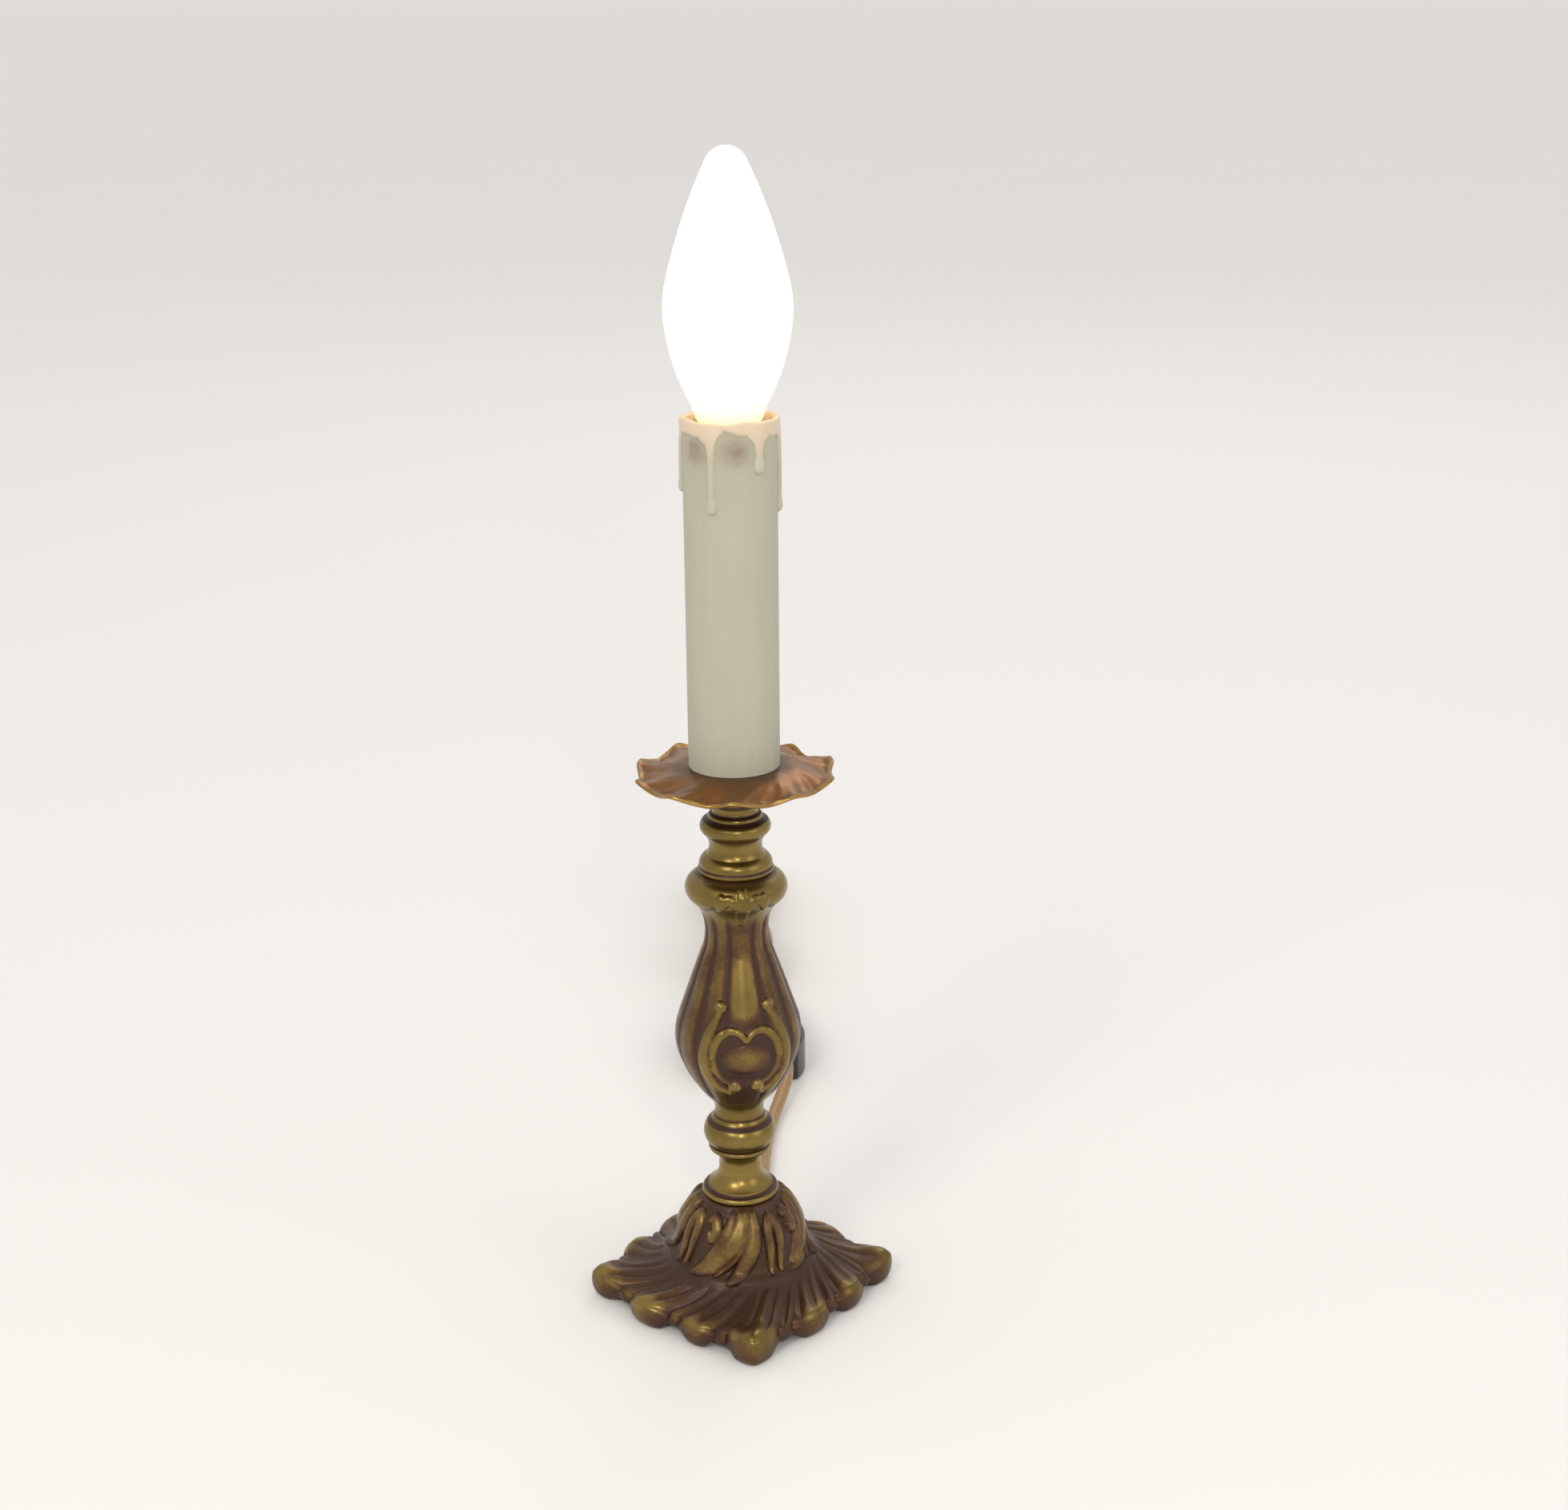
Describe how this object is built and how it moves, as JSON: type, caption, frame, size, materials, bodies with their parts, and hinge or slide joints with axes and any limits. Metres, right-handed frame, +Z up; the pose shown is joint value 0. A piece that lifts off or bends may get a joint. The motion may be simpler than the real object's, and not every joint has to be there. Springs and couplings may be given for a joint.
{
  "type": "candlestick table lamp",
  "caption": "Aged brass candlestick table lamp: rocaille foot, vase stem, leaf drip pan, candle sleeve with wax drips, candle bulb, and cord with in-line switch and plug. No shade.",
  "frame": {"origin": "centre of the foot on the table", "axes": "+Z up the lamp; the foot's front corner and the front cartouche face -Y; the cord leaves at the back, +Y"},
  "size_m": [0.0907, 0.3776, 0.34],
  "materials": {
    "cast_brass": "aged cast brass, dark brown patina in the recesses and rubbed gold on the ridges",
    "turned_brass": "aged turned brass, satin",
    "zinc_steel": "zinc-plated steel",
    "dark_moulding": "moulded phenolic",
    "contact_brass": "bright stamped brass",
    "cap_metal": "pressed cap metal",
    "black_glass": "black cap glass",
    "opal_glass": "opal glass, lit",
    "candle_plastic": "aged ivory candle sleeve",
    "black_plastic": "black moulded plastic",
    "cord_sheath": "gold-brown flexible sheath",
    "core_brown": "brown core",
    "core_blue": "blue core"
  },
  "bodies": {
    "stand": {"base_foot": "cast_brass", "vase_body": "cast_brass", "drip_pan": "cast_brass", "lower_column": "turned_brass", "upper_spool": "turned_brass", "pan_cup": "turned_brass", "threaded_tube": "zinc_steel", "base_washer": "zinc_steel", "base_nut": "zinc_steel", "pan_nut": "zinc_steel", "holder_bracket": "zinc_steel", "holder_screw_back": "zinc_steel", "holder_screw_front": "zinc_steel", "holder_body": "dark_moulding", "holder_shell": "contact_brass", "holder_contact": "contact_brass", "terminal_live": "contact_brass", "terminal_neutral": "contact_brass", "plug_blade_left": "contact_brass", "plug_blade_right": "contact_brass", "tube_bush": "black_plastic", "exit_bush": "black_plastic", "plug_body": "black_plastic", "plug_relief": "black_plastic", "switch_lower": "black_plastic", "switch_upper": "black_plastic", "hank_tie": "black_plastic", "cord_inside": "cord_sheath", "cord_lead": "cord_sheath", "cord_jump": "cord_sheath", "cord_hank": "cord_sheath", "cord_tail": "cord_sheath", "core_live": "core_brown", "core_neutral": "core_blue"},
    "sleeve": {"candle_sleeve": "candle_plastic"},
    "bulb_lift": {"bulb_tip": "cap_metal"},
    "bulb": {"bulb_glass": "opal_glass", "bulb_cap": "cap_metal", "bulb_insulator": "black_glass"},
    "rocker": {"switch_rocker": "black_plastic"}
  },
  "joints": [
    {"name": "sleeve_turn", "type": "hinge", "parent": "stand", "child": "sleeve", "pos_m": [0, 0, 0.17], "axis": [0, 0, 1], "continuous": true},
    {"name": "bulb_rise", "type": "slide", "parent": "stand", "child": "bulb_lift", "axis": [0, 0, 1], "range_m": [0, 0.00889]},
    {"name": "bulb_turn", "type": "hinge", "parent": "bulb_lift", "child": "bulb", "pos_m": [0, 0, 0.26], "axis": [0, 0, 1], "range_deg": [0, 1260]},
    {"name": "rocker_tip", "type": "hinge", "parent": "stand", "child": "rocker", "pos_m": [0.02485, 0.16617, 0.0126], "axis": [-0.9965, -0.0833, 0], "range_deg": [-16, 0]}
  ],
  "couplings": [
    {"joint": "bulb_rise", "follows": "bulb_turn", "m_per_rad": 0.00040425}
  ]
}
